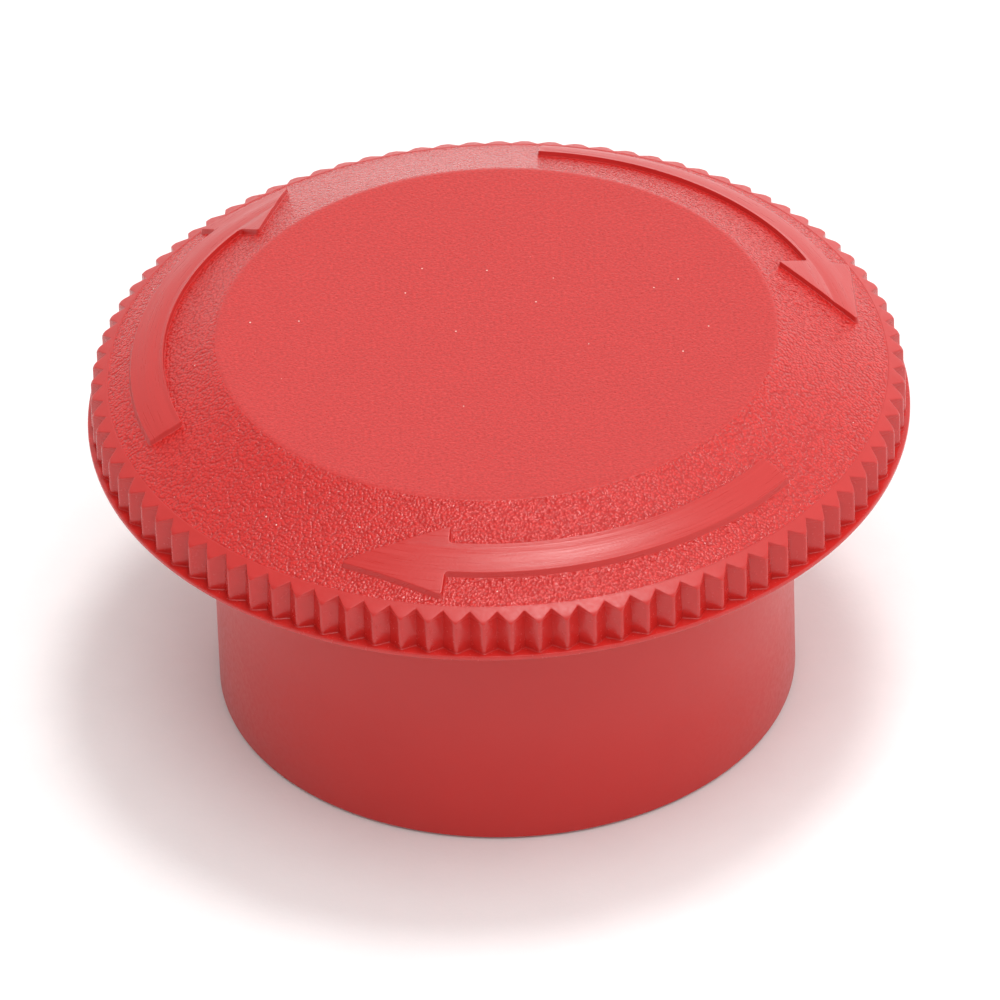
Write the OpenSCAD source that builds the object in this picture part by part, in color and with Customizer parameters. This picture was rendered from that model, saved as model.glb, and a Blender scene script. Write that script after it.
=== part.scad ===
// Operator head of a twist-to-release emergency stop button, drawn pushed in and latched.
// +Z is the pressing axis, pointing out of the panel. The origin is on that axis, in the panel's front face.

/* [Mushroom head] */
// Diameter over the thin lip under the grip ring
head_d = 40; // [39.8:0.1:41]
// Height of the flat centre above the panel
head_h = 20.17; // [20.1:0.01:20.6]
// Height of the lip's underside above the panel
lip_z = 15.35; // [15.3:0.01:15.5]
// Thickness of the thin lip
lip_t = 0.25; // [0.2:0.05:0.3]
// Diameter over the ridges of the grip ring
grip_d = 39.5; // [39.4:0.1:39.6]
// Diameter at the bottom of the grooves between the ridges
groove_d = 38.6; // [38.4:0.1:38.8]
// Number of ridges round the grip ring
ridges = 93; // [60:1:96]
// Diameter of the flat centre
disc_d = 27.3; // [26.8:0.1:27.8]
// Diameter where the sloping face meets the smooth band
face_d = 37.9; // [37.8:0.05:38]
// Height of the sloping face's outer edge
face_z = 17.8; // [17.7:0.05:17.9]

/* [Arrows] */
// Height of the raised arrows above the sloping face
arrow_h = 0.38; // [0.2:0.02:0.5]
// Radius of the inside of an arrow's shaft
arrow_ri = 16.1; // [15.8:0.1:16.4]
// Radius of the outside of an arrow's shaft
arrow_ro = 17.5; // [17.2:0.1:17.6]
// Width of an arrow's head across its barbs
arrow_w = 3.7; // [3:0.1:3.8]
// Length of an arrow's head
arrow_l = 5; // [4:0.1:5.4]
// Angle that an arrow's shaft runs through
arrow_a = 60.85; // [40:1:66]

/* [Skirt] */
// Diameter of the skirt where it meets the head
skirt_d = 28.40; // [28.36:0.02:28.6]
// Diameter of the skirt at its lower edge
skirt_foot_d = 28.30; // [28.1:0.02:28.36]
// Diameter of the skirt's bore
skirt_bore = 25.6; // [25.6:0.1:25.8]

/* [Motion] */
// Travel between latched and released
travel = 4; // [3:0.5:4]
// Turn that releases the latch, in degrees
release_a = 45; // [40:1:48]
// Distance that a pawl draws in over that turn
pawl_draw = 1.2; // [1:0.1:1.2]

/* [Panel thread] */
// Core diameter of the female M20 x 1 thread
thread_core_d = 18.92; // [18.92:0.01:18.96]

/* [Hidden] */
$fn = 96;
eps = 0.01;

lip_top = lip_z + lip_t;
slope = (head_h - face_z) / (face_d / 2 - disc_d / 2);
roof_z = head_h - 2;
ridge_0 = 267.03;
pitch = 360 / ridges;
core_r = 19.1;
boss_r = 6.4;
boss_a = 82.5;

base_r = 12.2;
guide_r = 9.9;
wide_r = 11;
web_z = 4;
barrel_top = 15.2;
web_top = 5.2;
// the stop ring sits just above the carriage's keys at the top of their travel
step_z = web_top + 2 + travel;

spindle_r = 3;
carriage_r = 9.8;
carriage_top = 14.6;
pocket_top = 11.5;

plate_z = 14.8;
plate_t = 1.6;
pin_r = 0.58;
pin_pos = 8;
slot_r = 0.75;
pawl_z = 12.4;
pawl_t = 1.4;
pawl_tip = 10.8;

// Height of the sloping face at radius r
function face_at(r) = face_z + (face_d / 2 - r) * slope;
function polar(r, a) = [r * cos(a), r * sin(a)];

// A tube of radius w along a path given as [radius, angle, height] points that never runs straight outwards
function pt(p) = [p[0] * cos(p[1]), p[0] * sin(p[1]), p[2]];
function unit(v) = v / norm(v);
module sweep(path, w, sides = 8) {
    n = len(path);
    rings = [for (i = [0:n - 1])
        let (p = pt(path[i]),
             t = unit(pt(path[min(i + 1, n - 1)]) - pt(path[max(i - 1, 0)])),
             r = [cos(path[i][1]), sin(path[i][1]), 0],
             u = unit(r - (r * t) * t),
             v = cross(t, u))
        for (k = [0:sides - 1]) p + w * (cos(360 * k / sides) * u + sin(360 * k / sides) * v)];
    walls = [for (i = [0:n - 2]) for (k = [0:sides - 1])
        let (a = i * sides + k, b = i * sides + (k + 1) % sides)
        each [[a, a + sides, b + sides], [a, b + sides, b]]];
    polyhedron(points = rings,
               faces = concat([[for (k = [0:sides - 1]) k]], walls,
                              [[for (k = [sides - 1:-1:0]) (n - 1) * sides + k]]));
}

module ring(r0, r1, z0, z1) {
    rotate_extrude() translate([r0, z0]) square([r1 - r0, z1 - z0]);
}

// Outline of one arrow, running clockwise as seen from above, its head's base at angle 0
module arrow_outline() {
    mid = 17;
    steps = 16;
    linear_extrude(height = head_h + 1)
        polygon(concat(
            [for (i = [steps:-1:0]) polar(arrow_ro, arrow_a * i / steps)],
            [polar(mid, 0) + [arrow_w / 2, 0], polar(mid, 0) + [0, -arrow_l], polar(mid, 0) - [arrow_w / 2, 0]],
            [for (i = [0:steps]) polar(arrow_ri, arrow_a * i / steps)]));
}

module arrows() {
    lift = arrow_h * sqrt(1 + slope * slope);
    intersection() {
        union() for (k = [0:2]) rotate(-99.1 + 120 * k) arrow_outline();
        rotate_extrude()
            polygon([[14.9, face_at(14.9) - 0.4], [18.93, face_at(18.93) - 0.4],
                     [18.93, face_at(18.93) + lift], [14.9, face_at(14.9) + lift]]);
    }
}

module grip_teeth() {
    half = 0.36;
    intersection() {
        translate([0, 0, lip_z + 0.1]) linear_extrude(height = 2.3)
            polygon([for (i = [0:ridges - 1]) let (a = ridge_0 + i * pitch)
                each [polar(grip_d / 2, a - half), polar(grip_d / 2, a + half), polar(groove_d / 2, a + pitch / 2)]]);
        rotate_extrude()
            polygon([[18.5, lip_z], [20.2, lip_z], [20.2, 16.3], [19.72, 17.22], [19.5, 17.48], [18.5, 17.48]]);
    }
}

module cap_section() {
    polygon([[0, roof_z], [0, head_h], [disc_d / 2, head_h], [face_d / 2, face_z], [core_r, 17.64],
             [core_r, lip_top], [head_d / 2, lip_top], [head_d / 2, lip_z],
             [18.2, lip_z], [18.2, face_at(18.2) - 1.5], [14.9, face_at(14.9) - 1.6], [14.9, lip_z],
             [13.95, lip_z], [13.95, 17.05], [12.4, 17.05], [12.4, roof_z]]);
}

module mushroom_cap() {
    color([0.75, 0.09, 0.09]) difference() {
        union() {
            rotate_extrude() cap_section();
            grip_teeth();
            arrows();
            // stiffening ribs in the hollow under the rim
            intersection() {
                union() for (i = [0:11]) rotate(15 + 30 * i) translate([14.5, -0.45, 15.9]) cube([4, 0.9, 3]);
                rotate_extrude() polygon([[14.7, 15.9], [18.4, 15.9], [18.4, face_at(18.4) - 1.2], [14.7, face_at(14.7) - 1.2]]);
            }
            // bosses for the cam plate's screws, and the pad over the spindle
            for (i = [0:2]) rotate(boss_a + 120 * i) translate([boss_r, 0, plate_z + plate_t]) cylinder(r = 1.6, h = roof_z - plate_z - plate_t + 0.3);
            translate([0, 0, 17.62]) cylinder(r = 4.7, h = roof_z - 17.62 + 0.3);
        }
        for (i = [0:2]) rotate(boss_a + 120 * i) translate([boss_r, 0, plate_z + plate_t - 1]) cylinder(r = 0.8, h = 18.1 - plate_z - plate_t + 1);
    }
}

module skirt_sleeve() {
    color([0.72, 0.1, 0.1]) rotate_extrude()
        polygon([[skirt_bore / 2 + 0.2, 0.1], [skirt_foot_d / 2 - 0.15, 0.1], [skirt_foot_d / 2, 0.25],
                 [skirt_d / 2, lip_z], [13.9, lip_z], [13.9, 17], [skirt_bore / 2, 17], [skirt_bore / 2, 0.3]]);
}

module spindle() {
    color("silver") rotate_extrude()
        polygon([[0, 6.9], [spindle_r - 0.3, 6.9], [spindle_r, 7.2], [spindle_r, 7.45], [2.3, 7.45], [2.3, 8.05],
                 [spindle_r, 8.05], [spindle_r, plate_z + plate_t + 0.02], [4.6, plate_z + plate_t + 0.02],
                 [4.6, 17.6], [0, 17.6]]);
}

// Slot that draws a pin in as the plate turns clockwise
module spiral_slot() {
    n = 18;
    w = slot_r * 1.022;
    translate([0, 0, plate_z - 1]) linear_extrude(height = plate_t + 2) union() {
        polygon(concat(
            [for (i = [0:n]) polar(pin_pos - pawl_draw * i / n + w, release_a * i / n)],
            [for (i = [n:-1:0]) polar(pin_pos - pawl_draw * i / n - w, release_a * i / n)]));
        translate(polar(pin_pos, 0)) circle(r = slot_r);
        translate(polar(pin_pos - pawl_draw, release_a)) circle(r = slot_r);
    }
}

module cam_plate() {
    color([0.85, 0.85, 0.8]) difference() {
        translate([0, 0, plate_z]) cylinder(r = 9.3, h = plate_t);
        translate([0, 0, plate_z - 1]) cylinder(r = spindle_r + 0.03, h = plate_t + 2);
        for (i = [0:2]) rotate(120 * i) spiral_slot();
        for (i = [0:2]) rotate(boss_a + 120 * i) translate([boss_r, 0, 0]) {
            translate([0, 0, plate_z - 1]) cylinder(r = 0.85, h = plate_t + 2);
            translate([0, 0, plate_z - eps]) cylinder(r1 = 1.52, r2 = 0.8, h = 0.74);
        }
        rotate(100) translate([4.1, 0, plate_z - 1]) cylinder(r = 0.45, h = 2.2);
    }
}

module cam_plate_screws() {
    color("silver") for (i = [0:2]) rotate(boss_a + 120 * i) translate([boss_r, 0, 0]) difference() {
        union() {
            translate([0, 0, plate_z + 0.05]) cylinder(r1 = 1.4, r2 = 0.75, h = 0.65);
            translate([0, 0, plate_z + 0.65]) cylinder(r = 0.75, h = 18 - plate_z - 0.65);
        }
        translate([-0.8, -0.17, plate_z - 0.2]) cube([1.6, 0.34, 0.6]);
        translate([-0.17, -0.8, plate_z - 0.2]) cube([0.34, 1.6, 0.6]);
    }
}

module retaining_clip() {
    color("dimgray") translate([0, 0, 7.5]) linear_extrude(height = 0.5) difference() {
        circle(r = 4.2);
        circle(r = 2.35);
        translate([0, -1.9]) square([6, 3.8]);
        for (s = [-1, 1]) rotate(s * 62) translate([3.0, 0]) circle(r = 0.42);
    }
}

module thrust_washer() { color("gainsboro") ring(3.1, 4.4, 8.1, 8.55); }

module radial_slot(r0, r1, w, z0, z1) {
    translate([r0, -w / 2, z0]) cube([r1 - r0, w, z1 - z0]);
}

module plunger_carriage() {
    color([0.2, 0.2, 0.21]) difference() {
        union() {
            translate([0, 0, web_top + 0.1]) cylinder(r = carriage_r, h = carriage_top - web_top - 0.1);
            for (i = [0:2]) rotate(60 + 120 * i) translate([9, -1, web_top + 0.2]) cube([1.7, 2, 1.7]);
        }
        translate([0, 0, 4]) cylinder(r = spindle_r + 0.05, h = 12);
        translate([0, 0, 4]) cylinder(r = 4.6, h = 4.6);
        translate([0, 0, 11.9]) cylinder(r = 4.8, h = 4);
        ring(6.1, 7.9, 4, pocket_top);
        for (i = [0:2]) rotate(120 * i) {
            radial_slot(5.3, 12, 3.4, pawl_z - 0.1, pawl_z + pawl_t + 0.1);
            radial_slot(pin_pos - pawl_draw - 0.05, pin_pos + 0.05, 2 * slot_r, 13, 15);
            for (r = [pin_pos - pawl_draw - 0.05, pin_pos + 0.05]) translate([r, 0, 13]) cylinder(r = slot_r, h = 2);
        }
        rotate(-160) translate([4.1, 0, 11]) cylinder(r = 0.45, h = 2);
    }
}

module plunger_foot() {
    color("ivory") difference() {
        union() {
            translate([0, 0, 4.2]) cylinder(r = 4.3, h = 1.3);
            translate([0, 0, 5.4]) cylinder(r = 4.55, h = 1.2);
        }
        translate([0, 0, 4]) cylinder(r = 2.4, h = 0.5);
    }
}

module torsion_spring() {
    r = 4.1;
    z0 = 12.25;
    turns = 3 + 260 / 360;
    n = 84;
    color("lightgray") sweep(concat(
        [[r, -160, 11.15], [r, -160, 11.6], [r, -160, 12.0]],
        [for (i = [1:n]) [r, -160 + 360 * turns * i / n, z0 + 2.1 * i / n]],
        [[r, 100, 14.75], [r, 100, 15.1], [r, 100, 15.7]]), 0.26, 6);
}

// One pawl, lying along +X
module pawl() {
    difference() {
        intersection() {
            translate([6.6, -1.6, pawl_z]) cube([5, 3.2, pawl_t]);
            rotate_extrude() polygon([[0, pawl_z], [pawl_tip - 0.7, pawl_z], [pawl_tip, pawl_z + 0.8],
                                      [pawl_tip, pawl_z + pawl_t], [0, pawl_z + pawl_t]]);
        }
        translate([pin_pos, 0, pawl_z + 0.5]) cylinder(r = 0.6, h = 2);
    }
}
module latch_pawl_1() { color("whitesmoke") pawl(); }
module latch_pawl_2() { color("whitesmoke") rotate(120) pawl(); }
module latch_pawl_3() { color("whitesmoke") rotate(240) pawl(); }

module cam_pin() { translate([pin_pos, 0, pawl_z + 0.52]) cylinder(r = pin_r, h = 3.3); }
module cam_pin_1() { color("silver") cam_pin(); }
module cam_pin_2() { color("silver") rotate(120) cam_pin(); }
module cam_pin_3() { color("silver") rotate(240) cam_pin(); }

module base_barrel() {
    color([0.12, 0.12, 0.13]) difference() {
        rotate_extrude()
            polygon([[base_r, 0.8], [base_r, 9.5], [11.5, 9.5], [11.5, 11], [base_r, 11], [base_r, barrel_top - 0.2],
                     [base_r - 0.2, barrel_top], [wide_r, barrel_top], [wide_r, 14.7], [11.5, 14.7], [11.5, 13.9],
                     [wide_r, 13.9], [wide_r, step_z], [guide_r, step_z], [guide_r, web_top], [4.7, web_top],
                     [4.7, web_z], [10.82, web_z], [10.82, 0.8]]);
        for (i = [0:2]) rotate(60 + 120 * i) radial_slot(9.5, 10.9, 2.2, web_top, step_z + 0.5);
    }
}

module threaded_insert() {
    r = thread_core_d / 2;
    color("goldenrod") difference() {
        rotate_extrude() polygon([[r + 0.3, 0.1], [10.8, 0.1], [10.8, 1.4], [10.5, 1.4], [10.5, 2.1], [10.8, 2.1],
                                  [10.8, web_z], [r, web_z], [r, 0.4]]);
        rotate(90) translate([9, -0.8, -1]) cube([1.2, 1.6, 6]);
    }
}

module latch_ring() {
    color("lightgray") translate([0, 0, 14]) linear_extrude(height = 0.6) difference() {
        circle(r = 11.35);
        circle(r = 10.1);
        rotate(60) translate([9, -2]) square([4, 4]);
    }
}

module stop_ring() { color("lightgray") ring(9.95, wide_r - 0.02, step_z, step_z + 0.8); }

module return_spring() {
    r = 7;
    w = 0.42;
    z0 = 5.5 + w + 0.02;
    z1 = pocket_top - w - 0.02;
    flat = 0.75;
    turns = 4.5;
    n = 100;
    rise = 0.88;
    color("silver") sweep([for (i = [0:n]) let (t = turns * i / n,
        z = t < flat ? t * rise
          : t > turns - flat ? (z1 - z0) - (turns - t) * rise
          : flat * rise + (t - flat) * ((z1 - z0) - 2 * flat * rise) / (turns - 2 * flat))
        [r, 360 * t, z0 + z]], w, 8);
}

module spring_seat() { color("lightgray") ring(6.2, 7.8, web_top, 5.5); }

module panel_gasket() { color([0.08, 0.08, 0.08]) ring(10.9, base_r, 0, 0.8); }

module skirt_seal() {
    color([0.1, 0.1, 0.1]) rotate_extrude()
        polygon([[11.55, 9.6], [12.45, 9.6], [12.7, 10], [12.7, 10.5], [12.45, 10.9], [11.55, 10.9]]);
}

mushroom_cap();
skirt_sleeve();
spindle();
cam_plate();
cam_plate_screws();
retaining_clip();
thrust_washer();
plunger_carriage();
plunger_foot();
torsion_spring();
latch_pawl_1();
latch_pawl_2();
latch_pawl_3();
cam_pin_1();
cam_pin_2();
cam_pin_3();
base_barrel();
threaded_insert();
latch_ring();
stop_ring();
return_spring();
spring_seat();
panel_gasket();
skirt_seal();
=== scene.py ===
"""Emergency stop button head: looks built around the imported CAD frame. Sizes below are millimetres unless they say otherwise."""
import math

import bpy
import bmesh
import numpy as np
from mathutils import Matrix, Vector
from mathutils.geometry import delaunay_2d_cdt


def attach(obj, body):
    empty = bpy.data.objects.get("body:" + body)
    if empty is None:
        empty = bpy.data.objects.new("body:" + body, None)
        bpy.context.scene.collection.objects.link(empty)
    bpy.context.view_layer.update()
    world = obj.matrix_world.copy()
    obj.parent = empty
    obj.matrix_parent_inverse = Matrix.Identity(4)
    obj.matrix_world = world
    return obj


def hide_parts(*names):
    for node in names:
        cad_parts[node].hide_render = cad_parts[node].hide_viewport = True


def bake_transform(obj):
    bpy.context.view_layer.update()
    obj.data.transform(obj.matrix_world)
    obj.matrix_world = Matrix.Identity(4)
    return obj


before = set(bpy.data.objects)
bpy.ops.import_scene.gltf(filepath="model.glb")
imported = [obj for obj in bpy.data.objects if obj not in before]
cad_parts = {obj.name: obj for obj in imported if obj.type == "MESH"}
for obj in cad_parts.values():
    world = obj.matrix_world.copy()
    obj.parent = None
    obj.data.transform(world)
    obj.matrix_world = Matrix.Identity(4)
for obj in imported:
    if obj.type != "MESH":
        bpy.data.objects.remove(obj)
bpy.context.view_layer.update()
MM = 0.001
PI2 = 2 * math.pi


# ---------------------------------------------------------------- mesh helpers
class Mesh:
    """Collects vertices and faces; coordinates in millimetres."""

    def __init__(self):
        self.v, self.f, self.m = [], [], []
        self.n = 0

    def add(self, pts):
        pts = np.asarray(pts, float).reshape(-1, 3)
        ids = np.arange(self.n, self.n + len(pts))
        self.v.append(pts)
        self.n += len(pts)
        return ids

    def face(self, ids, mat=0):
        self.f.append(tuple(int(i) for i in ids))
        self.m.append(mat)

    def strip(self, a, b, mat=0, closed=True):
        """Quads between two equal loops."""
        n = len(a)
        for i in range(n if closed else n - 1):
            j = (i + 1) % n
            self.face((a[i], a[j], b[j], b[i]), mat)

    def reduce(self, many, few, mat=0):
        """Joins a loop of k*n vertices to one of n."""
        n = len(few)
        k = len(many) // n
        for i in range(n):
            j = (i + 1) % n
            for q in range(k):
                a, b = many[(i * k + q) % len(many)], many[(i * k + q + 1) % len(many)]
                if q < k / 2:
                    self.face((a, b, few[i]), mat)
                else:
                    self.face((a, b, few[j]), mat)
                if q == k // 2 - 1 or (k == 1):
                    self.face((b, few[j], few[i]), mat)

    def fan(self, loop, centre, mat=0):
        c = self.add([centre])[0]
        n = len(loop)
        for i in range(n):
            self.face((loop[i], loop[(i + 1) % n], c), mat)

    def object(self, name, mats, body, slot, angle=30.0, replaces=()):
        v = np.concatenate(self.v) * MM
        me = bpy.data.meshes.new(name)
        me.from_pydata(v.tolist(), [], self.f)
        me.polygons.foreach_set("material_index", np.array(self.m, np.int32))
        for m in mats:
            me.materials.append(m)
        bm = bmesh.new()
        bm.from_mesh(me)
        bmesh.ops.recalc_face_normals(bm, faces=bm.faces)
        bm.to_mesh(me)
        bm.free()
        me.shade_smooth()
        me.set_sharp_from_angle(angle=math.radians(angle))
        ob = bpy.data.objects.new(name, me)
        bpy.context.scene.collection.objects.link(ob)
        if body:
            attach(ob, body)
        if replaces:
            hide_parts(*replaces)
        return ob


def ring_pts(r, z, n, a0=0.0):
    a = a0 + np.arange(n) * PI2 / n
    return np.stack([r * np.cos(a), r * np.sin(a), np.full(n, z)], 1)


def fillet(poly, radii, seg=4):
    """Rounds the corners of a closed polygon of (x, y); radii is one number or one per corner."""
    n = len(poly)
    if not hasattr(radii, "__len__"):
        radii = [radii] * n
    out = []
    for i in range(n):
        p, a, b = (np.array(poly[k % n], float) for k in (i, i - 1, i + 1))
        u, w = a - p, b - p
        lu, lw = np.linalg.norm(u), np.linalg.norm(w)
        u, w = u / lu, w / lw
        ang = math.acos(max(-1, min(1, float(u @ w))))
        r = radii[i]
        if r <= 0 or ang > math.pi - 0.02:
            out.append(tuple(p))
            continue
        d = min(r / math.tan(ang / 2), 0.49 * lu, 0.49 * lw)
        r = d * math.tan(ang / 2)
        c = p + (u + w) / np.linalg.norm(u + w) * (r / math.sin(ang / 2))
        s, e = p + u * d - c, p + w * d - c
        t0, t1 = math.atan2(s[1], s[0]), math.atan2(e[1], e[0])
        dt = (t1 - t0 + math.pi) % PI2 - math.pi
        for k in range(seg + 1):
            t = t0 + dt * k / seg
            out.append((c[0] + r * math.cos(t), c[1] + r * math.sin(t)))
    return out


def revolve(name, section, n, mat, body, slot, replaces=(), radius=0.08, seg=3, angle=35.0):
    """Turns a closed (r, z) section about Z. Points with r = 0 lie on the axis."""
    radii = [0 if p[0] < 1e-6 else radius for p in section]
    sec = fillet(section, radii, seg)
    m = Mesh()
    loops = [m.add([(0, 0, z)]) if r < 1e-6 else m.add(ring_pts(r, z, n)) for r, z in sec]
    for i in range(len(loops)):
        a, b = loops[i], loops[(i + 1) % len(loops)]
        if len(a) == 1 and len(b) == 1:
            continue
        if len(a) == 1 or len(b) == 1:
            one, many = (a, b) if len(a) == 1 else (b, a)
            for k in range(n):
                m.face((many[k], many[(k + 1) % n], one[0]))
        else:
            m.strip(a, b)
    return m.object(name, [mat], body, slot, angle, replaces)


def sweep(name, path, w, sides, mat, body, slot, replaces=(), blend=None):
    """A round wire of radius w along points (r, angle in degrees, z)."""
    p = np.array([(r * math.cos(math.radians(a)), r * math.sin(math.radians(a)), z) for r, a, z in path])
    rad = np.array([(math.cos(math.radians(a)), math.sin(math.radians(a)), 0) for r, a, z in path])
    t = np.gradient(p, axis=0)
    t /= np.linalg.norm(t, axis=1)[:, None]
    u = rad - (rad * t).sum(1)[:, None] * t
    u /= np.linalg.norm(u, axis=1)[:, None]
    v = np.cross(t, u)
    m = Mesh()
    loops = []
    for i in range(len(p)):
        a = np.arange(sides) * PI2 / sides
        loops.append(m.add(p[i] + w * (np.cos(a)[:, None] * u[i] + np.sin(a)[:, None] * v[i])))
    for a, b in zip(loops[:-1], loops[1:]):
        m.strip(a, b)
    m.fan(loops[0], p[0] - t[0] * w * 0.25)
    m.fan(loops[-1], p[-1] + t[-1] * w * 0.25)
    ob = m.object(name, [mat], None if blend else body, slot, 60, replaces)
    if blend:
        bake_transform(ob)
    return ob


# ---------------------------------------------------------------- materials
class Mat:
    """Small helper for node materials whose coordinates are the object's own, in millimetres."""

    def __init__(self, name, base, rough, **sockets):
        self.m = bpy.data.materials.new(name)
        self.m.use_nodes = True
        self.t = self.m.node_tree
        self.b = self.t.nodes["Principled BSDF"]
        self.b.inputs["Base Color"].default_value = (*base, 1)
        self.b.inputs["Roughness"].default_value = rough
        for k, v in sockets.items():
            self.b.inputs[k.replace("_", " ")].default_value = v
        tc = self.node("ShaderNodeTexCoord")
        mp = self.node("ShaderNodeMapping")
        mp.inputs["Scale"].default_value = (1000, 1000, 1000)
        self.link(tc.outputs["Object"], mp.inputs["Vector"])
        self.co = mp.outputs["Vector"]

    def node(self, kind, **props):
        n = self.t.nodes.new(kind)
        for k, v in props.items():
            setattr(n, k, v)
        return n

    def link(self, a, b):
        self.t.links.new(a, b)

    def scaled(self, s):
        mp = self.node("ShaderNodeMapping")
        mp.inputs["Scale"].default_value = s
        self.link(self.co, mp.inputs["Vector"])
        return mp.outputs["Vector"]

    def noise(self, scale, detail=2.0, rough=0.5, vector=None):
        n = self.node("ShaderNodeTexNoise")
        n.inputs["Scale"].default_value = scale
        n.inputs["Detail"].default_value = detail
        n.inputs["Roughness"].default_value = rough
        self.link(self.co if vector is None else vector, n.inputs["Vector"])
        return n.outputs["Fac"]

    def cells(self, scale, smooth=0.4, vector=None):
        n = self.node("ShaderNodeTexVoronoi", feature="SMOOTH_F1")
        n.inputs["Scale"].default_value = scale
        n.inputs["Smoothness"].default_value = smooth
        self.link(self.co if vector is None else vector, n.inputs["Vector"])
        return n.outputs["Distance"]

    def math(self, op, a, b=None, clamp=False):
        n = self.node("ShaderNodeMath", operation=op, use_clamp=clamp)
        for i, x in enumerate((a, b)):
            if x is None:
                continue
            if isinstance(x, (int, float)):
                n.inputs[i].default_value = x
            else:
                self.link(x, n.inputs[i])
        return n.outputs[0]

    def ramp(self, fac, lo, hi, a=0.0, b=1.0):
        n = self.node("ShaderNodeMapRange")
        n.inputs["From Min"].default_value = lo
        n.inputs["From Max"].default_value = hi
        n.inputs["To Min"].default_value = a
        n.inputs["To Max"].default_value = b
        self.link(fac, n.inputs["Value"])
        return n.outputs["Result"]

    def colour(self, fac, dark, light):
        n = self.node("ShaderNodeMix", data_type="RGBA")
        n.inputs[6].default_value = (*dark, 1)
        n.inputs[7].default_value = (*light, 1)
        self.link(fac, n.inputs[0])
        self.link(n.outputs[2], self.b.inputs["Base Color"])

    def rough(self, fac):
        self.link(fac, self.b.inputs["Roughness"])

    def specks(self, scale, size_mm):
        """Sparse pale specks of dust, about size_mm in radius."""
        n = self.node("ShaderNodeTexVoronoi", feature="F1")
        n.inputs["Scale"].default_value = scale
        self.link(self.co, n.inputs["Vector"])
        near = self.ramp(n.outputs["Distance"], size_mm * scale, size_mm * scale * 0.6)
        mix = self.node("ShaderNodeMix", data_type="RGBA")
        self.link(self.b.inputs["Base Color"].links[0].from_socket, mix.inputs[6])
        mix.inputs[7].default_value = (0.80, 0.62, 0.56, 1)
        self.link(near, mix.inputs[0])
        self.link(mix.outputs[2], self.b.inputs["Base Color"])

    def bump(self, height, distance_mm, strength=1.0, normal=None):
        n = self.node("ShaderNodeBump")
        n.inputs["Strength"].default_value = strength
        n.inputs["Distance"].default_value = distance_mm * MM
        self.link(height, n.inputs["Height"])
        if normal is not None:
            self.link(normal, n.inputs["Normal"])
        self.link(n.outputs["Normal"], self.b.inputs["Normal"])
        return n.outputs["Normal"]


RED = (0.505, 0.016, 0.013)


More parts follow.
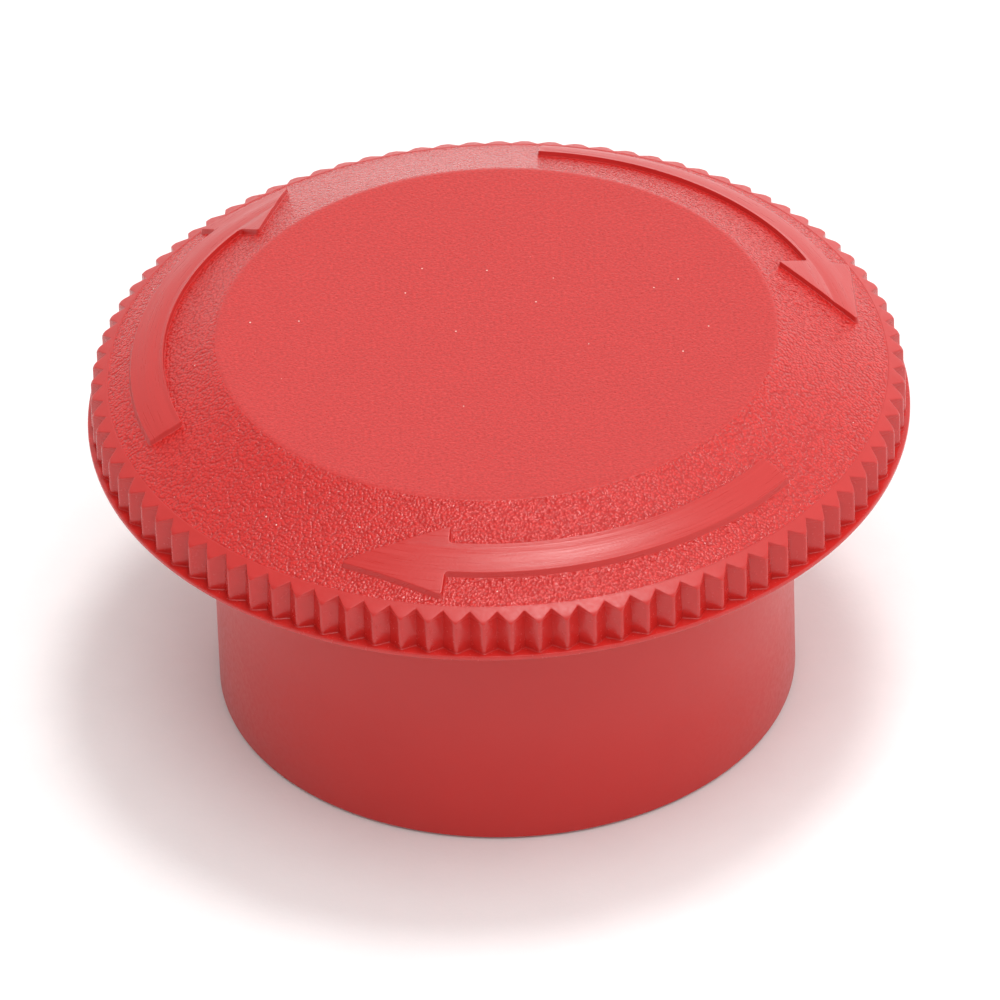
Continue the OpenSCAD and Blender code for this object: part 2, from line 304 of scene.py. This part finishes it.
def make_materials():
    M = {}

    def grain(m, f, domes, fine):
        """Random rounded bumps, like a spark-eroded mould leaves."""
        d = m.cells(f, 0.25)
        d = m.math("SUBTRACT", 1.0, m.math("MULTIPLY", m.math("MULTIPLY", d, d), 1.4))
        return m.math("ADD", m.math("MULTIPLY", d, domes), m.math("MULTIPLY", m.noise(f * 1.15, 2.0, 0.55), fine))

    # spark-eroded grain of the sloping face, with painted glints and painted shade in its colour
    m = Mat("red_face_grain_painted_glints_and_shade", RED, 0.30, IOR=1.5)
    g = grain(m, 6.8, 0.85, 0.5)
    m.bump(g, 0.044)
    m.b.inputs["Specular IOR Level"].default_value = 0.39
    # the grain's dome tops are painted lighter as painted glints and the valleys between them darker as painted shade
    m.colour(m.ramp(g, 0.65, 1.17), (0.462, 0.0128, 0.0105), (0.645, 0.0262, 0.0220))
    m.rough(m.ramp(m.noise(12.0, 2.0), 0.3, 0.7, 0.12, 0.25))
    m.specks(0.75, 0.045)
    M["face"] = m.m
    # finer grain of the flat centre
    m = Mat("red_disc_grain", RED, 0.42, IOR=1.5)
    g = grain(m, 8.4, 0.55, 0.8)
    m.bump(g, 0.016)
    pits = m.math("ADD", m.math("MULTIPLY", m.noise(0.5, 2.0), 0.07), m.math("MULTIPLY", m.noise(6.0, 2.0, 0.6), 0.93))
    m.colour(m.ramp(pits, 0.3, 0.7), (0.422, 0.0082, 0.0062), (0.596, 0.0262, 0.0224))
    m.rough(m.ramp(m.noise(12.0, 2.0), 0.3, 0.7, 0.27, 0.42))
    m.specks(0.8, 0.05)
    M["disc"] = m.m
    # polished band, ridges and lip
    m = Mat("red_gloss", RED, 0.2, IOR=1.5)
    m.bump(m.noise(3.0, 3.0, 0.6), 0.005)
    m.colour(m.ramp(m.noise(0.8, 3.0), 0.3, 0.7), (0.486, 0.0148, 0.0115), (0.524, 0.0180, 0.0148))
    m.rough(m.ramp(m.noise(5.0, 3.0), 0.3, 0.75, 0.18, 0.30))
    M["gloss"] = m.m
    # the same plastic a little duller, on the sloping band above the ridges
    m = Mat("red_band", RED, 0.36, IOR=1.5)
    m.bump(m.noise(5.0, 3.0, 0.6), 0.006)
    m.colour(m.ramp(m.noise(0.8, 3.0), 0.3, 0.7), (0.486, 0.0148, 0.0115), (0.524, 0.0180, 0.0148))
    m.rough(m.ramp(m.noise(5.0, 3.0), 0.3, 0.75, 0.33, 0.45))
    M["band"] = m.m
    # arrow tops, satin with fine streaks that follow the arc
    m = Mat("red_arrow", RED, 0.33, IOR=1.5)
    sep = m.node("ShaderNodeSeparateXYZ")
    m.link(m.co, sep.inputs[0])
    r = m.math("SQRT", m.math("ADD", m.math("MULTIPLY", sep.outputs[0], sep.outputs[0]), m.math("MULTIPLY", sep.outputs[1], sep.outputs[1])))
    ang = m.math("ARCTAN2", sep.outputs[1], sep.outputs[0])
    comb = m.node("ShaderNodeCombineXYZ")
    m.link(m.math("MULTIPLY", r, 9.0), comb.inputs[0])
    m.link(m.math("MULTIPLY", ang, 5.0), comb.inputs[1])
    streak = m.noise(1.0, 3.0, 0.6, comb.outputs[0])
    fine = m.noise(9.0, 2.0, 0.5)
    m.bump(m.math("ADD", m.math("MULTIPLY", streak, 0.7), m.math("MULTIPLY", fine, 0.35)), 0.014)
    m.colour(m.ramp(streak, 0.35, 0.7), (0.486, 0.0156, 0.0123), (0.524, 0.0180, 0.0148))
    m.rough(m.ramp(streak, 0.3, 0.7, 0.25, 0.38))
    M["arrow"] = m.m
    # satin skirt and underside
    m = Mat("red_satin", RED, 0.36, IOR=1.5)
    m.bump(m.noise(7.0, 2.0, 0.5), 0.0025)
    m.colour(m.ramp(m.noise(0.3, 2.0), 0.3, 0.7), (0.496, 0.0164, 0.0128), (0.508, 0.0172, 0.0134))
    m.rough(m.ramp(m.noise(4.0, 3.0), 0.3, 0.7, 0.31, 0.41))
    M["satin"] = m.m

    def plastic(key, name, dark, light, r0, r1, bump, scale=8.0):
        q = Mat(name, light, (r0 + r1) / 2, IOR=1.5)
        n1 = q.noise(scale, 3.0, 0.6)
        q.bump(n1, bump)
        q.colour(q.ramp(q.noise(0.5, 3.0), 0.3, 0.7), dark, light)
        q.rough(q.ramp(n1, 0.3, 0.7, r0, r1))
        M[key] = q.m

    plastic("black", "black_nylon", (0.018, 0.018, 0.019), (0.028, 0.028, 0.03), 0.42, 0.58, 0.012, 9.0)
    plastic("grey", "grey_nylon", (0.085, 0.086, 0.09), (0.12, 0.12, 0.125), 0.38, 0.52, 0.008, 8.0)
    plastic("acetal", "natural_acetal", (0.74, 0.73, 0.68), (0.82, 0.81, 0.76), 0.3, 0.42, 0.004, 6.0)
    plastic("rubber", "black_rubber", (0.014, 0.014, 0.014), (0.024, 0.024, 0.024), 0.62, 0.8, 0.01, 12.0)

    def metal(key, name, dark, light, r0, r1, stretch, bump):
        q = Mat(name, light, (r0 + r1) / 2, Metallic=1.0)
        n1 = q.noise(1.0, 4.0, 0.6, q.scaled(stretch))
        q.bump(n1, bump)
        q.colour(q.ramp(q.noise(0.7, 3.0), 0.3, 0.7), dark, light)
        q.rough(q.ramp(n1, 0.3, 0.7, r0, r1))
        M[key] = q.m

    metal("steel", "turned_steel", (0.5, 0.5, 0.51), (0.62, 0.62, 0.63), 0.22, 0.38, (2.0, 2.0, 18.0), 0.003)
    metal("spring", "spring_wire", (0.42, 0.42, 0.43), (0.55, 0.55, 0.56), 0.25, 0.4, (6.0, 6.0, 6.0), 0.003)
    metal("brass", "turned_brass", (0.6, 0.42, 0.17), (0.76, 0.57, 0.27), 0.22, 0.36, (2.0, 2.0, 16.0), 0.003)
    return M


M = make_materials()

# ---------------------------------------------------------------- the red head
RIDGES, PITCH, RIDGE0 = 93, PI2 / 93, math.radians(266.79)
LIP_BOT, LIP_TOP, R_LIP = 15.35, 15.60, 20.0
R_TIP, R_FACE, Z_FACE = 19.79, 18.95, 17.80
R_DISC, Z_DISC = 13.65, 20.17
SLOPE = (Z_DISC - Z_FACE) / (R_FACE - R_DISC)
ROUND = 0.30
STEP = 0.022
N2 = RIDGES * 4
A0 = RIDGE0 + PITCH / 2 - PITCH / 2


def cone(r):
    return Z_FACE + (R_FACE - np.asarray(r, float)) * SLOPE


def smin(a, b, k):
    h = np.clip(k - np.abs(a - b), 0, None) / k
    return np.minimum(a, b) - h * h * k / 4


def profile_rows():
    """(r, z) of the ridge tops' profile, from the lip up to the sloping face."""
    sa = math.atan(SLOPE)
    rc = R_TIP - ROUND
    rs = rc + ROUND * math.sin(sa)
    zc = float(cone(rs)) - ROUND * math.cos(sa)
    rows = [(R_TIP, z) for z in (LIP_TOP, LIP_TOP + 0.012, LIP_TOP + 0.035, LIP_TOP + 0.08, 15.78, 16.0, 16.25, 16.5, 16.75, 16.95, 17.1)]
    for k in range(0, 8):
        t = (math.pi / 2 - sa) * k / 8
        rows.append((rc + ROUND * math.cos(t), zc + ROUND * math.sin(t)))
    for r in np.arange(rs, 19.06, -0.055):
        rows.append((float(r), float(cone(r))))
    rows.append((19.03, float(cone(19.03))))
    rows.append((18.99, float(cone(18.99)) - 0.003))
    rows.append((18.965, float(cone(18.965)) - STEP))
    rows.append((18.93, float(cone(18.93)) - STEP))
    return rows


def groove_vertex(z):
    return np.interp(z, [LIP_TOP, 17.69], [19.35, 19.19])


ARROW_H = 0.30
# each raised arrow: shaft radii, angles of the shaft's two ends, then (radius, angle) of the inner barb, tip and outer barb
ARROWS = (
    (16.02, 17.43, -99.4, -38.1, (15.22, -99.5), (17.77, -116.1), (18.60, -99.5)),
    (16.60, 17.88, 22.9, 81.7, (14.95, 21.5), (17.70, 6.9), (18.88, 23.2)),
    (16.20, 17.80, 139.7, 198.8, (14.93, 140.1), (18.05, 123.7), (18.86, 139.5)),
)


def outline_arrow(k):
    """Rounded outline of arrow k in plan, counter-clockwise, as (x, y)."""
    ri, ro, a0, a1, inner, tip, outer = ARROWS[k]
    arc = 30
    pol = [(ro, a1 + (a0 - a1) * i / arc) for i in range(arc + 1)] + [outer, tip, inner] + [(ri, a0 + (a1 - a0) * i / arc) for i in range(arc + 1)]
    rad = [0.07] + [0] * (arc - 1) + [0.20, 0.11, 0.07, 0.07, 0.20] + [0] * (arc - 1) + [0.07]
    pts = [(r * math.cos(math.radians(t)), r * math.sin(math.radians(t))) for r, t in pol]
    pts = fillet(pts, rad, 5)
    # long straight edges are cut into short ones
    out = []
    for i, p in enumerate(pts):
        q = np.array(pts[(i + 1) % len(pts)])
        p = np.array(p)
        cuts = max(1, int(round(np.linalg.norm(q - p) / 0.33)))
        out += [p + (q - p) * c / cuts for c in range(cuts)]
    out = np.array(out)
    keep = np.linalg.norm(out - np.roll(out, 1, 0), axis=1) > 1e-3
    out = out[keep]
    area = 0.5 * np.sum(out[:, 0] * np.roll(out[:, 1], -1) - np.roll(out[:, 0], -1) * out[:, 1])
    if area < 0:
        out = out[::-1]
    # the barb stays inside the edge of the grained face
    r = np.hypot(out[:, 0], out[:, 1])
    f = min(1.0, 0.19 / max(r.max() - 18.6, 1e-6))
    return out * (np.where(r > 18.6, 18.6 + (r - 18.6) * f, r) / r)[:, None]


CROWN = ((-9, 0.03), (0.10, 0.026), (0.15, 0.056), (0.20, 0.058), (0.32, 0.042), (0.47, 0.024), (0.65, 0.008), (0.85, 0.0), (1.02, 0.004), (1.2, 0.018), (1.4, 0.038), (9, 0.038))


def arrow_top(q, k):
    """How far the arrow's top lies below its full height: the shaft is slightly crowned, with a faint crease along its inner edge."""
    x = np.hypot(q[:, 0], q[:, 1]) - ARROWS[k][0]
    return np.interp(x, [c[0] for c in CROWN], [c[1] for c in CROWN])


def offset_loop(p, d):
    """Moves a counter-clockwise loop outwards by d, keeping its vertex count."""
    e = np.roll(p, -1, 0) - p
    n = np.stack([e[:, 1], -e[:, 0]], 1)
    n /= np.linalg.norm(n, axis=1)[:, None]
    s = n + np.roll(n, 1, 0)
    s /= np.linalg.norm(s, axis=1)[:, None]
    return p + s * (d / np.clip((s * n).sum(1), 0.5, 1))[:, None]


def inside(poly, pts):
    x, y = pts[:, 0], pts[:, 1]
    hit = np.zeros(len(pts), bool)
    n = len(poly)
    for i in range(n):
        (x0, y0), (x1, y1) = poly[i], poly[(i + 1) % n]
        if y0 == y1:
            continue
        c = ((y0 > y) != (y1 > y)) & (x < (x1 - x0) * (y - y0) / (y1 - y0) + x0)
        hit ^= c
    return hit


def near(poly, pts, d):
    best = np.full(len(pts), 1e9)
    for a, b in zip(poly, np.roll(poly, -1, 0)):
        e = b - a
        t = np.clip(((pts - a) @ e) / (e @ e), 0, 1)
        best = np.minimum(best, np.linalg.norm(pts - a - t[:, None] * e, axis=1))
    return best < d


def cdt(m, loops, extra, keep, height, mat, lines=()):
    """Triangulates between loops of (ids, xy) with extra free points; keep(point) says which regions stay."""
    pts, ids, edges = [], [], []
    for lid, xy in loops:
        s = len(pts)
        pts += [tuple(q) for q in xy]
        ids += list(lid)
        edges += [(s + i, s + (i + 1) % len(xy)) for i in range(len(xy))]
    eid = m.add(np.column_stack([extra, height(extra)])) if len(extra) else []
    edges += [(len(pts) + i, len(pts) + j) for i, j in lines]
    pts += [tuple(q) for q in extra]
    ids += list(eid)
    vs, es, fs, ov, oe, _ = delaunay_2d_cdt([Vector(q) for q in pts], edges, [], 0, 1e-7, True)
    back = []
    for i, o in enumerate(ov):
        if o:
            back.append(ids[o[0]])
        else:
            q = np.array([[vs[i][0], vs[i][1]]])
            back.append(int(m.add(np.column_stack([q, height(q)]))[0]))
    xy = np.array([(q[0], q[1]) for q in vs])
    tri = [tuple(f) for f in fs if len(f) == 3]
    wall = {(min(e), max(e)) for e, o in zip(es, oe) if o}
    link = {}
    for i, f in enumerate(tri):
        for a, b in ((f[0], f[1]), (f[1], f[2]), (f[2], f[0])):
            k = (min(a, b), max(a, b))
            if k not in wall:
                link.setdefault(k, []).append(i)
    root = list(range(len(tri)))

    def find(i):
        while root[i] != i:
            root[i] = root[root[i]]
            i = root[i]
        return i

    for pair in link.values():
        if len(pair) == 2:
            root[find(pair[0])] = find(pair[1])
    t = xy[np.array(tri)]
    u, w = t[:, 1] - t[:, 0], t[:, 2] - t[:, 0]
    area = 0.5 * np.abs(u[:, 0] * w[:, 1] - u[:, 1] * w[:, 0])
    regions = {}
    for i in range(len(tri)):
        regions.setdefault(find(i), []).append(i)
    for members in regions.values():
        best = max(members, key=lambda i: area[i])
        if area[members].sum() > 1e-3 and keep(t[best].mean(0)[None])[0]:
            for i in members:
                m.face([back[j] for j in tri[i]], mat)


def build_cap():
    m = Mesh()
    DISC, FACE, GLOSS, ARROW, SATIN, BAND = range(6)
    hp = PITCH / 2 * 19.6
    rows = profile_rows()
    loops = []
    for rp, z in rows:
        r0 = float(groove_vertex(z))
        k = (R_TIP - r0) / 0.59
        e = max((rp - r0) / k, 0.05)
        d1, d2 = min(0.06, 0.2 * e), min(0.016, 0.06 * e)
        half = [0.2 * e, 0.45 * e, 0.7 * e, e - d1, e - d2, min(e + 0.03, 0.9 * hp), min(e + 0.075, 0.95 * hp)]
        off = np.array([-hp] + [-h for h in half[::-1]] + [0.0] + half)
        rv = r0 + k * (np.sqrt(off * off + 0.0004) - 0.012)
        rr = smin(np.full(len(off), rp), rv, 0.05) if z < 17.74 else np.full(len(off), rp)
        grow = {0: 0.035, 1: 0.014, 2: 0.003}.get(len(loops), 0.0)
        rr = rr + grow
        th = (RIDGE0 + PITCH / 2 + np.arange(RIDGES)[:, None] * PITCH + off[None, :] / 19.6).ravel()
        rr = np.tile(rr, RIDGES)
        zz = np.full(len(th), z)
        # on the slope a groove meets the cone higher up, so its points slide down the face instead of hanging in the air
        loops.append((m.add(np.stack([rr * np.cos(th), rr * np.sin(th), zz], 1)), th, rr))
    for i, ((a, _, _), (b, _, _)) in enumerate(zip(loops[:-1], loops[1:])):
        m.strip(a, b, GLOSS if i < 15 else BAND)
    # lip
    th = loops[0][1]
    prev = loops[0][0]
    for r, z in ((19.93, LIP_TOP), (19.965, LIP_TOP - 0.012), (19.99, LIP_TOP - 0.04), (R_LIP, LIP_TOP - 0.075),
                 (R_LIP, LIP_BOT + 0.075), (19.99, LIP_BOT + 0.04), (19.965, LIP_BOT + 0.012), (19.93, LIP_BOT)):
        cur = m.add(np.stack([r * np.cos(th), r * np.sin(th), np.full(len(th), z)], 1))
        m.strip(prev, cur, GLOSS)
        prev = cur
    # underside, on a quarter of the columns
    start = RIDGE0 + PITCH / 2 - PITCH / 2
    few = m.add(ring_pts(19.6, LIP_BOT, N2, start))
    m.reduce(prev, few, SATIN)
    under = [(18.25, LIP_BOT), (18.21, 15.31), (18.2, 15.36), (18.2, float(cone(18.2)) - 1.62), (18.17, float(cone(18.2)) - 1.54),
             (18.1, float(cone(18.1)) - 1.5), (15.0, float(cone(15.0)) - 1.6), (14.93, float(cone(15.0)) - 1.62), (14.9, float(cone(15.0)) - 1.7),
             (14.9, 15.36), (14.89, 15.31), (14.84, LIP_BOT), (14.01, LIP_BOT), (13.96, 15.31), (13.95, 15.36),
             (13.95, 17.05), (12.4, 17.05), (12.4, 18.12), (12.35, 18.17), (8.0, 18.17), (4.0, 18.17)]
    cur = few
    for r, z in under:
        nxt = m.add(ring_pts(r, z, N2, start))
        m.strip(cur, nxt, SATIN)
        cur = nxt
    m.fan(cur, (0, 0, 18.17), SATIN)
    # disc
    sc = STEP
    alpha, rho = math.atan(SLOPE), 1.0
    mid_r = R_DISC - rho * math.tan(alpha / 2)
    edge = []
    for i in range(7):
        t = 1 - i / 6
        edge.append((mid_r + rho * math.sin(alpha * t), Z_DISC - rho + rho * math.cos(alpha * t) - sc * t * t * (3 - 2 * t)))
    edge.append((13.1, Z_DISC))
    r_in = edge[0][0]
    rim = [m.add(ring_pts(r, z, N2, start)) for r, z in edge]
    for i, (a, b) in enumerate(zip(rim[:-1], rim[1:])):
        m.strip(a, b, FACE if i < 3 else DISC)
    n, cur = N2, rim[-1]
    for r in (12.0, 9.0):
        nxt = m.add(ring_pts(r, Z_DISC, n // 2, start))
        m.reduce(cur, nxt, DISC)
        n, cur = n // 2, nxt
    nxt = m.add(ring_pts(5.0, Z_DISC, n, start))
    m.strip(cur, nxt, DISC)
    m.fan(nxt, (0, 0, Z_DISC), DISC)
    # arrows: loops of the side wall with its small fillets, then the top
    h = ARROW_H
    steps = [(0.100, 0.0), (0.082, 0.004), (0.068, 0.015), (0.058, 0.034), (0.012, h - 0.045), (0.004, h - 0.022), (-0.007, h - 0.007), (-0.022, h - 0.001), (-0.042, h)]

    def face_z(q):
        return cone(np.hypot(q[:, 0], q[:, 1])) - sc

    outer = []
    for k in range(3):
        base = outline_arrow(k)
        prev = None
        for i, (d, up) in enumerate(steps):
            q = offset_loop(base, d)
            ids = m.add(np.column_stack([q, face_z(q) + up - arrow_top(q, k) * (up / h) ** 4]))
            if prev is not None:
                m.strip(prev, ids, FACE if i < 2 else ARROW)
            else:
                outer.append((ids, q))
            prev = ids
        ri, ro, a0, a1 = ARROWS[k][:4]
        tt = np.radians(np.arange(a0 - 18, a1 + 2, 1.15))
        g, lines, n = [], [], 0
        for r in [ri - 1.1, ri - 0.75, ri - 0.4] + [ri + c[0] for c in CROWN[1:-1]] + [ri + 1.75, ri + 2.1]:
            row = np.stack([r * np.cos(tt), r * np.sin(tt)], 1)
            ok = inside(q, row) & ~near(q, row, 0.06)
            at = np.where(ok)[0]
            g.append(row[ok])
            lines += [(n + i, n + i + 1) for i in range(len(at) - 1) if at[i + 1] == at[i] + 1]
            n += len(at)
        cdt(m, [(prev, q)], np.concatenate(g), lambda c, q=q: inside(q, c), lambda p, k=k: face_z(p) + h - arrow_top(p, k), ARROW, lines)
    # sloping face
    top_ids, th, rr = loops[-1]
    oxy = np.stack([rr * np.cos(th), rr * np.sin(th)], 1)
    a = start + np.arange(N2) * PI2 / N2
    ixy = np.stack([r_in * np.cos(a), r_in * np.sin(a)], 1)
    free = []
    for i, r in enumerate(np.arange(14.1, 18.75, 0.36)):
        n = int(PI2 * r / 0.36)
        t = (np.arange(n) + 0.5 * (i % 2)) * PI2 / n
        free.append(np.stack([r * np.cos(t), r * np.sin(t)], 1))
    free = np.concatenate(free)
    bad = np.zeros(len(free), bool)
    for _, q in outer:
        bad |= inside(q, free) | near(q, free, 0.16)
    free = free[~bad]

    def keep(c):
        r = np.hypot(c[:, 0], c[:, 1])
        ok = (r > r_in - 0.01) & (r < 18.935)
        for _, q in outer:
            ok &= ~inside(q, c)
        return ok

    cdt(m, [(top_ids, oxy), (rim[0], ixy)] + outer, free, keep, face_z, FACE)
    return m.object("mushroom_head", [M["disc"], M["face"], M["gloss"], M["arrow"], M["satin"], M["band"]], "knob", "red_cap", 28.0, ["mushroom_cap"])


def underside_ribs():
    """Ribs in the hollow under the rim, bosses and spindle pad, as one mesh to be joined to the head."""
    m = Mesh()

    def box(x0, x1, y, z0, z1a, z1b, a):
        c, s = math.cos(a), math.sin(a)
        p = [(x0, -y, z0), (x1, -y, z0), (x1, y, z0), (x0, y, z0), (x0, -y, z1a), (x1, -y, z1b), (x1, y, z1b), (x0, y, z1a)]
        i = m.add([(x * c - yy * s, x * s + yy * c, z) for x, yy, z in p])
        for f in ((0, 3, 2, 1), (4, 5, 6, 7), (0, 1, 5, 4), (1, 2, 6, 5), (2, 3, 7, 6), (3, 0, 4, 7)):
            m.face([i[q] for q in f], 4)

    def tube(x, r, bore, z0, z1, depth, a, n=48):
        cx, cy = x * math.cos(a), x * math.sin(a)
        def loop(rad, z):
            return m.add(ring_pts(rad, z, n) + np.array([cx, cy, 0]))
        if bore:
            sec = [(r, z1), (r, z0 + 0.08), (r - 0.08, z0), (bore + 0.1, z0), (bore, z0 + 0.1), (bore, z0 + depth)]
        else:
            sec = [(r, z1), (r, z0 + 0.08), (r - 0.08, z0)]
        ls = [loop(*q) for q in sec]
        for p, q in zip(ls[:-1], ls[1:]):
            m.strip(p, q, 4)
        m.fan(ls[0], (cx, cy, z1), 4)
        m.fan(ls[-1], (cx, cy, sec[-1][1]), 4)

    for i in range(12):
        box(14.6, 18.5, 0.45, 15.9, float(cone(14.6)) - 1.0, float(cone(18.5)) - 1.0, math.radians(15 + 30 * i))
    for i in range(3):
        tube(6.4, 1.6, 0.8, 16.4, 18.6, 1.7, math.radians(82.5 + 120 * i))
    tube(0, 4.7, 0, 17.62, 18.6, 0, 0, 96)
    return m


def join_boolean(ob, tool_mesh, mats):
    tool = tool_mesh.object("tool", mats, None, None)
    mod = ob.modifiers.new("join", "BOOLEAN")
    mod.operation = "UNION"
    mod.object = tool
    mod.solver = "MANIFOLD"
    before = len(ob.data.polygons)
    dg = bpy.context.evaluated_depsgraph_get()
    new = bpy.data.meshes.new_from_object(ob.evaluated_get(dg))
    if len(new.polygons) < before * 0.9:
        mod.solver = "EXACT"
        dg = bpy.context.evaluated_depsgraph_get()
        new = bpy.data.meshes.new_from_object(ob.evaluated_get(dg))
    ob.modifiers.clear()
    ob.data = new
    bpy.data.objects.remove(tool)
    new.shade_smooth()
    new.set_sharp_from_angle(angle=math.radians(28))
    return ob


head = build_cap()
join_boolean(head, underside_ribs(), list(head.data.materials))
mod = head.modifiers.new("normals", "WEIGHTED_NORMAL")
mod.weight = 60
mod.keep_sharp = True

# ---------------------------------------------------------------- skirt and turned pieces
revolve("skirt", [(13.0, 0.1), (14.15, 0.1), (14.175, 7.0), (14.20, LIP_BOT), (13.9, LIP_BOT), (13.9, 17.0), (12.8, 17.0), (12.8, 0.3)],
        360, M["satin"], "knob", "red_skirt", ["skirt_sleeve"], radius=0.09, seg=4)
revolve("spindle_axle", [(0, 6.9), (3, 6.9), (3, 7.45), (2.3, 7.45), (2.3, 8.05), (3, 8.05), (3, 16.42), (4.6, 16.42), (4.6, 17.6), (0, 17.6)],
        96, M["steel"], "knob", "steel", ["spindle"], radius=0.12)
revolve("spindle_thrust_washer", [(3.1, 8.1), (4.4, 8.1), (4.4, 8.55), (3.1, 8.55)], 96, M["steel"], "knob", "steel", ["thrust_washer"], radius=0.06)
revolve("key_stop_ring", [(9.95, 11.2), (10.98, 11.2), (10.98, 12.0), (9.95, 12.0)], 160, M["steel"], "base", "steel", ["stop_ring"], radius=0.06)
revolve("spring_seat_washer", [(6.2, 5.2), (7.8, 5.2), (7.8, 5.5), (6.2, 5.5)], 120, M["steel"], "base", "steel", ["spring_seat"], radius=0.05)
revolve("panel_gasket_ring", [(10.9, 0.0), (12.2, 0.0), (12.2, 0.8), (10.9, 0.8)], 200, M["rubber"], "base", "black_rubber", ["panel_gasket"], radius=0.12)
revolve("skirt_lip_seal", [(11.55, 9.6), (12.3, 9.6), (12.7, 10.05), (12.7, 10.45), (12.3, 10.9), (11.55, 10.9)], 200, M["rubber"], "base", "black_rubber", ["skirt_seal"], radius=0.1)
revolve("plunger_foot_disc", [(0, 4.5), (2.4, 4.5), (2.4, 4.2), (4.3, 4.2), (4.3, 5.4), (4.55, 5.4), (4.55, 6.6), (0, 6.6)], 96, M["acetal"], "carriage", "acetal", ["plunger_foot"], radius=0.1)

# springs as true coils
turns, w, flat, rise = 4.5, 0.42, 0.75, 0.88
z0, z1 = 5.5 + w + 0.02, 11.5 - w - 0.02
path = []
for i in range(271):
    t = turns * i / 270
    if t < flat:
        z = t * rise
    elif t > turns - flat:
        z = (z1 - z0) - (turns - t) * rise
    else:
        z = flat * rise + (t - flat) * ((z1 - z0) - 2 * flat * rise) / (turns - 2 * flat)
    path.append((7.0, 360 * t, z0 + z))
sweep("return_coil", path, w, 16, M["spring"], "base", "spring_steel", ["return_spring"],
      ("base", "carriage", (0, 0, 5.6 * MM), (0, 0, 11.4 * MM)))
path = [(4.1, -160, z) for z in (11.15, 11.4, 11.7, 11.95)]
path += [(4.1, -160 + (360 * 3 + 260) * i / 230, 12.25 + 2.1 * i / 230) for i in range(2, 231)]
path += [(4.1, 100, z) for z in (14.65, 14.9, 15.2, 15.7)]
sweep("torsion_coil", path, 0.26, 12, M["spring"], "carriage", "spring_steel", ["torsion_spring"],
      ("carriage", "knob", (0, 0, 12.0 * MM), (0, 0, 14.4 * MM)))

# ---------------------------------------------------------------- CAD nodes that stay, with better materials
KEEP = {"base_barrel": "black", "threaded_insert": "brass", "latch_ring": "spring", "plunger_carriage": "grey", "cam_plate": "acetal",
        "cam_plate_screws": "steel", "retaining_clip": "spring", "latch_pawl_1": "acetal", "latch_pawl_2": "acetal", "latch_pawl_3": "acetal",
        "cam_pin_1": "steel", "cam_pin_2": "steel", "cam_pin_3": "steel"}
for node, key in KEEP.items():
    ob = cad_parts[node]
    ob.data.materials.clear()
    ob.data.materials.append(M[key])

# ---------------------------------------------------------------- floor, light, camera
fm = Mat("paper", (0.93, 0.915, 0.91), 0.9)
fm.colour(fm.ramp(fm.noise(0.25, 4.0, 0.6), 0.3, 0.7), (0.915, 0.905, 0.90), (0.94, 0.93, 0.925))
fm.bump(fm.noise(3.0, 4.0, 0.6), 0.01)
bpy.ops.mesh.primitive_circle_add(vertices=64, radius=3.0, fill_type="NGON", location=(0, 0, -0.00002))
floor = bpy.context.object
floor.name = "floor"
floor.data.materials.append(fm.m)

scene = bpy.context.scene
scene.view_settings.view_transform = "Standard"
world = bpy.data.worlds.new("studio")
scene.world = world
world.use_nodes = True
tree = world.node_tree
bg = tree.nodes["Background"]
bg.inputs[1].default_value = 1.0
# even white surround, brighter on the right and at the back
coord = tree.nodes.new("ShaderNodeTexCoord")
total = None
for direction, amount, narrow in (((1, 0, 0.25), 0.82, 2), ((0, 1, 0.25), 0.61, 2), ((0, -1, 0.25), 0.19, 2), ((0.42, 0.91, 0.03), 0.78, 22)):
    dot = tree.nodes.new("ShaderNodeVectorMath")
    dot.operation = "DOT_PRODUCT"
    tree.links.new(coord.outputs["Generated"], dot.inputs[0])
    dot.inputs[1].default_value = tuple(Vector(direction).normalized())
    last = dot.outputs["Value"]
    for op, value in (("MAXIMUM", 0.0), ("POWER", narrow), ("MULTIPLY", amount)):
        n = tree.nodes.new("ShaderNodeMath")
        n.operation = op
        tree.links.new(last, n.inputs[0])
        n.inputs[1].default_value = value
        last = n.outputs[0]
    n = tree.nodes.new("ShaderNodeMath")
    n.operation = "ADD"
    tree.links.new(last, n.inputs[0])
    if total is None:
        n.inputs[1].default_value = 0.475
    else:
        tree.links.new(total, n.inputs[1])
    total = n.outputs[0]
tree.links.new(total, bg.inputs[0])


def disc_light(name, az, el, half_angle, power, dist=0.9):
    d = bpy.data.lights.new(name, "AREA")
    d.shape = "DISK"
    d.size = 2 * dist * math.tan(math.radians(half_angle))
    d.energy = power
    o = bpy.data.objects.new(name, d)
    a, h = math.radians(az), math.radians(el)
    v = Vector((math.cos(h) * math.cos(a), math.cos(h) * math.sin(a), math.sin(h)))
    o.location = v * dist + Vector((0, 0, 0.01))
    o.rotation_euler = v.to_track_quat("Z", "Y").to_euler()
    scene.collection.objects.link(o)
    return o


for name, az, el, half_angle, power in (("key", 42, 80.6, 6.5, 2.45), ("front", -90, 70, 18, 2.06), ("front_low", -90, 50, 18, 0.50), ("right", 0, 60, 18, 0.30)):
    disc_light(name, az, el, half_angle, power)

cam = bpy.data.cameras.new("camera")
cam.sensor_width = 36.0
cam.lens = 590.0
cam.clip_start, cam.clip_end = 0.05, 20
co = bpy.data.objects.new("camera", cam)
scene.collection.objects.link(co)
e, dist, roll = 0.6412, 0.8, 0.0347
tgt = Vector((-0.0963e-3, 0, 9.9883e-3))
fwd = Vector((0, math.cos(e), -math.sin(e)))
right = Vector((1, 0, 0))
up = right.cross(fwd)
c, s = math.cos(roll), math.sin(roll)
r2, u2 = right * c - up * s, right * s + up * c
mat = Matrix((r2, u2, -fwd)).transposed().to_4x4()
mat.translation = tgt - fwd * dist
co.matrix_world = mat
scene.camera = co
